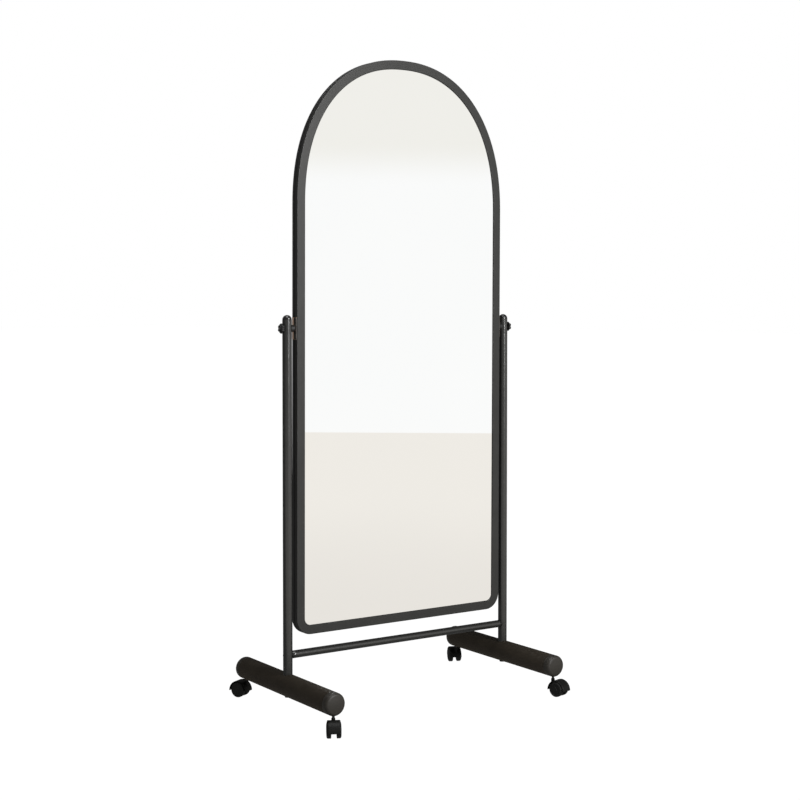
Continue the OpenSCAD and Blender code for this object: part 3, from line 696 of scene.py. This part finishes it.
# ---------- knobs ----------
KNOB_R = KNOB_D / 2
LOBE_R = KNOB_D / 7
LOBE_SPACING = 2 * math.pi / KNOB_LOBES
KNOB_BODY_R = KNOB_R - LOBE_R * 0.7    # of the round body between the lobes
LOBE_BLEND = 0.35                      # how softly the lobes run into it


def knob_radius(angle, radius):
    """The star shape of a knob at full radius KNOB_R, shrunk by what radius is short of it."""
    centre = KNOB_R - LOBE_R
    off = (angle + LOBE_SPACING / 2) % LOBE_SPACING - LOBE_SPACING / 2
    inside = LOBE_R ** 2 - (centre * math.sin(off)) ** 2
    tip = centre * math.cos(off) + math.sqrt(inside) if inside > 0 else 0.0
    smooth = LOBE_BLEND * math.log(math.exp(KNOB_BODY_R / LOBE_BLEND) + math.exp(tip / LOBE_BLEND))
    return min(smooth, KNOB_R) - (KNOB_R - radius)


for side, sx in SIDES:
    place = at(sx * KNOB_FACE_X, 0, PIVOT_Z, (sx, 0, 0))
    knob = Build()
    star = [(BORE_R, 0.0), (KNOB_R - 5, 0.0), (KNOB_R - 1.6, 0.0), (KNOB_R - 0.9, 0.15),
            (KNOB_R - 0.25, 0.7), (KNOB_R, 1.6), (KNOB_R, KNOB_T - 3.6), (KNOB_R - 0.2, KNOB_T - 2.4),
            (KNOB_R - 0.8, KNOB_T - 1.2), (KNOB_R - 1.8, KNOB_T - 0.4), (KNOB_R - 2.6, KNOB_T - 0.1),
            (KNOB_R - 4.6, KNOB_T - 0.1)]
    knob.lathe(star, place, segs=252, shape=knob_radius)
    top = KNOB_T + KNOB_BOSS_T
    bore = BORE_R - KNOB_BORE_RIM
    knob.lathe([(KNOB_R - 6.2, KNOB_T - 0.8), (KNOB_R - 5.2, KNOB_T - 0.05), (6.2, KNOB_T),
                (6.0, KNOB_T + 0.3), (5.8, top - 0.5), (5.2, top - 0.1), (4.4, top), (3.3, top),
                (bore, top - 0.3), (bore, 0.2)], place, segs=84)
    knob.piece("knob_star_" + side, KNOB, "knob_" + side + "_body", ["knob_" + side], "knob_black")


# ---------- casters ----------
def on_axle(turn, height, side):
    """A place at the axle's distance from the stem: local Y is up and local Z runs along the axle."""
    return turn @ Matrix.Translation(Vector((-TRAIL, 0, height))) @ Matrix(
        ((1, 0, 0, 0), (0, 0, side, 0), (0, 1, 0, 0), (0, 0, 0, 1)))


def caster_hood(turn):
    """The hood's shell, the web between the wheels with its round hub, and the neck on the stem."""
    hood = Build()
    hub = on_axle(turn, HOOD_AXIS_Z, -1)
    half, web = HOOD_W / 2, WEB_W / 2
    shell = [(HOOD_R - HOOD_WALL, -half, 0.6), (HOOD_R, -half, HOOD_ROUND), (HOOD_R, half, HOOD_ROUND),
             (HOOD_R - HOOD_WALL, half, 0.6)]
    hood.sector(fillet(shell, seg=5), hub, 0, math.pi, 48)
    web_r = HOOD_R - WEB_SHORT
    plate = [(WEB_BORE, -web, 0.2), (web_r, -web, 0.3), (web_r, web, 0.3), (WEB_BORE, web, 0.2)]
    hood.sector(fillet(plate, seg=2), hub, 0, math.pi, 48)
    disc = [(0, -web, 0), (HUB_R, -web, 0.6), (HUB_R, web, 0.6), (0, web, 0)]
    hood.lathe(fillet(disc, closed=False), on_axle(turn, WHEEL_R, -1), segs=64)
    stem_r = STEM_D / 2 + PLUG_PLAY
    neck = [(0, NECK_FOOT_Z, 0), (NECK_D / 2, NECK_FOOT_Z, 0), (NECK_D / 2, NECK_TOP_Z, 0.8),
            (stem_r, NECK_TOP_Z, 0.3), (stem_r, NECK_INNER_Z, 0)]
    hood.lathe(fillet(neck, closed=False), turn, segs=64)
    return hood


def caster_wheel(turn, side):
    """A wheel in (radius, distance outwards from the caster's middle): tread ring, dished face, core."""
    wheel = Build()
    place = on_axle(turn, WHEEL_R, side)
    inner = WEB_W / 2 + WHEEL_PLAY
    outer = inner + WHEEL_W
    rim = [(BORE_R, inner, 0), (8.0, inner, 0), (8.4, inner + RIM_STEP, 0.3),
           (WHEEL_R - RIM_W - 0.6, inner + RIM_STEP, 0.3), (WHEEL_R - RIM_W, inner, 0.3),
           (WHEEL_R, inner, 0.8), (WHEEL_R, outer, WHEEL_ROUND),
           (DISH_R + 0.2, outer, 0.3), (DISH_R - 0.1, outer - DISH_DEPTH, 0.3),
           (CORE_R + 0.2, outer - DISH_DEPTH, 0.3), (CORE_R - 0.2, outer - 0.1, 0.4), (0, outer, 0)]
    wheel.lathe(fillet(rim, closed=False, seg=5), place, segs=96)
    wheel.lathe([(BORE_R, inner), (BORE_R, inner + AXLE_REACH), (0, inner + AXLE_REACH)], place, segs=48)
    return wheel


for corner, sx, sy, way in CASTERS:
    turn = Matrix.Translation(Vector((sx * POST_X, sy * STEM_Y, 0))) @ Matrix.Rotation(
        math.radians(way + 180), 4, "Z")
    hood = caster_hood(turn)
    hood.piece("hood_shell_" + corner, CASTER, "caster_" + corner, ["hood_" + corner], "caster_plastic")
    for letter, side in (("a", 1), ("b", -1)):
        name = corner + "_" + letter
        wheel = caster_wheel(turn, side)
        wheel.piece("wheel_disc_" + name, WHEEL, "wheel_" + name + "_body", ["wheel_" + name],
                    "wheel_plastic")

# ---------- finishes of the CAD's own solids, by how their names start ----------
FINISH = {
    "post_plugs": STEEL, "foot_bolts": ZINC_DARK, "crossbar_plugs": STEEL, "crossbar_bolts": STEEL,
    "pivot_bush": NYLON, "saddle": NYLON, "stem": ZINC_DARK, "frame_splice": SPLICE,
    "splice_screws": ZINC_DARK, "mirror_glass": GLASS, "backing_board": BOARD, "back_panel": HARDBOARD,
    "pivot_plate": BRONZE, "plate_screws": BRONZE, "friction_washer": NYLON, "stud": STEEL, "axle": STEEL,
}
for name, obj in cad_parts.items():
    for start, finish in FINISH.items():
        if name.startswith(start):
            obj.data.materials.clear()
            obj.data.materials.append(finish)

# ---------- floor, light and camera, in metres ----------
AHEAD = Vector((0.56, -0.83, 0))      # the way in which the glass shows the room
WALL_CORNER = (0.0, -9.2)
WALL_RIGHT = (9.5, -2.8)
WALL_LEFT = (-8.5, -3.5)
WALL_TALL = 5.0
FAR_FLOOR_Y = -0.45                   # where the floor that the glass shows begins
GLOW = 1.0                            # how strongly floor and walls glow
FLOOR_ALBEDO = 0.05


def stage_material(name, low, high, start, end, along, strength, albedo):
    """A matt surface that glows, from the tone low at start to the tone high at end, both measured
    in metres along a direction. Its albedo says how much of the light on it it gives back."""
    mat = bpy.data.materials.new(name)
    mat.use_nodes = True
    tree = mat.node_tree
    shader = tree.nodes["Principled BSDF"]
    shader.inputs["Roughness"].default_value = 0.9
    shader.inputs["Specular IOR Level"].default_value = 0.0
    shader.inputs["Base Color"].default_value = (albedo, albedo, albedo, 1)
    shader.inputs["Emission Strength"].default_value = strength
    if low == high:
        shader.inputs["Emission Color"].default_value = (*low, 1)
        return mat
    where = tree.nodes.new("ShaderNodeTexCoord")
    reach = tree.nodes.new("ShaderNodeVectorMath")
    reach.operation = "DOT_PRODUCT"
    reach.inputs[1].default_value = along
    fade = tree.nodes.new("ShaderNodeMapRange")
    fade.interpolation_type = "SMOOTHSTEP"
    fade.inputs["From Min"].default_value = start
    fade.inputs["From Max"].default_value = end
    tone = tree.nodes.new("ShaderNodeMix")
    tone.data_type = "RGBA"
    tone.inputs["A"].default_value = (*low, 1)
    tone.inputs["B"].default_value = (*high, 1)
    tree.links.new(where.outputs["Object"], reach.inputs[0])
    tree.links.new(reach.outputs["Value"], fade.inputs["Value"])
    tree.links.new(fade.outputs["Result"], tone.inputs["Factor"])
    tree.links.new(tone.outputs["Result"], shader.inputs["Emission Color"])
    return mat


def stage_plane(name, corners, mat):
    """A flat face through the corners, as part of the stage."""
    mesh = bpy.data.meshes.new(name)
    mesh.from_pydata(corners, [], [tuple(range(len(corners)))])
    mesh.materials.append(mat)
    obj = bpy.data.objects.new(name, mesh)
    bpy.context.scene.collection.objects.link(obj)
    return obj


def stage_wall(name, start, end, mat):
    """An upright plane on the floor between two (x, y) points."""
    (x0, y0), (x1, y1) = start, end
    return stage_plane(name, [(x0, y0, 0), (x1, y1, 0), (x1, y1, WALL_TALL), (x0, y0, WALL_TALL)], mat)


def stage():
    """A plain white floor, and a warmer floor and plain walls that show in the glass alone."""
    white = stage_material("floor", (1, 1, 1), (1, 1, 1), 0.0, 1.0, AHEAD, GLOW, FLOOR_ALBEDO)
    ground = stage_plane("floor", [(-40, -40, 0), (40, -40, 0), (40, 60, 0), (-40, 60, 0)], white)
    ground.visible_glossy = False
    warm = stage_material("far_floor", (0.84, 0.805, 0.76), (0.90, 0.865, 0.815), 1.0, 4.0, AHEAD,
                          GLOW, 0.0)
    pale = stage_material("wall", (1, 1, 1), (0.91, 0.895, 0.855), 1.9, 2.25, (0, 0, 1), GLOW, 0.0)
    dim = stage_material("side_wall", (0.35, 0.35, 0.35), (0.30, 0.30, 0.29), 0.0, 3.0, (0, 0, 1),
                         GLOW, 0.0)
    seen_in_glass = (
        stage_plane("far_floor", [(-9, -12, 0), (12, -12, 0), (12, FAR_FLOOR_Y, 0),
                                  (-9, FAR_FLOOR_Y, 0)], warm),
        stage_wall("wall", WALL_CORNER, WALL_RIGHT, pale),
        stage_wall("side_wall", WALL_LEFT, WALL_CORNER, dim))
    for plane in seen_in_glass:
        plane.visible_camera = False
        plane.visible_diffuse = False


def soft_light(name, spot, aim, width, height, watts):
    """A rectangular light of that width and height, turned towards aim."""
    data = bpy.data.lights.new(name, "AREA")
    data.shape = "RECTANGLE"
    data.size, data.size_y = width, height
    data.energy = watts
    obj = bpy.data.objects.new(name, data)
    bpy.context.scene.collection.objects.link(obj)
    obj.location = spot
    obj.rotation_euler = (Vector(aim) - Vector(spot)).to_track_quat("-Z", "Y").to_euler()


stage()
soft_light("front", (0.65, -4.4, 2.4), (0.0, 0.0, 1.3), 0.55, 2.4, 240)
soft_light("overhead", (-0.6, -0.4, 4.2), (0.0, 0.0, 0.5), 2.0, 2.0, 90)


def studio_world(seen, lit):
    """White where the camera sees it, and dimmer as a light, so that the finishes stay dark."""
    world = bpy.data.worlds.new("studio")
    bpy.context.scene.world = world
    world.use_nodes = True
    tree = world.node_tree
    background = tree.nodes["Background"]
    background.inputs["Color"].default_value = (1, 1, 1, 1)
    path = tree.nodes.new("ShaderNodeLightPath")
    level = tree.nodes.new("ShaderNodeMapRange")
    level.inputs["To Min"].default_value = lit
    level.inputs["To Max"].default_value = seen
    tree.links.new(path.outputs["Is Camera Ray"], level.inputs["Value"])
    tree.links.new(level.outputs["Result"], background.inputs["Strength"])


studio_world(1.0, 0.14)
bpy.context.scene.view_settings.view_transform = "Standard"

CAMERA_AT = (-2.2755, -3.3560, 1.0584)
CAMERA_YAW = 34.13     # to the right of straight ahead, in degrees
CAMERA_DOWN = 1.80
RISE_PX = 47.8         # the lens's vertical shift: how far it lifts the picture
FOCAL_PX = 1508.7
PHOTO_PX = 800
SENSOR = 36.0
camera_data = bpy.data.cameras.new("camera")
camera_data.sensor_width = SENSOR
camera_data.lens = SENSOR * FOCAL_PX / PHOTO_PX
camera_data.shift_y = -RISE_PX / PHOTO_PX
camera = bpy.data.objects.new("camera", camera_data)
bpy.context.scene.collection.objects.link(camera)
camera.location = CAMERA_AT
camera.rotation_euler = (math.radians(90 - CAMERA_DOWN), 0, math.radians(-CAMERA_YAW))
bpy.context.scene.camera = camera
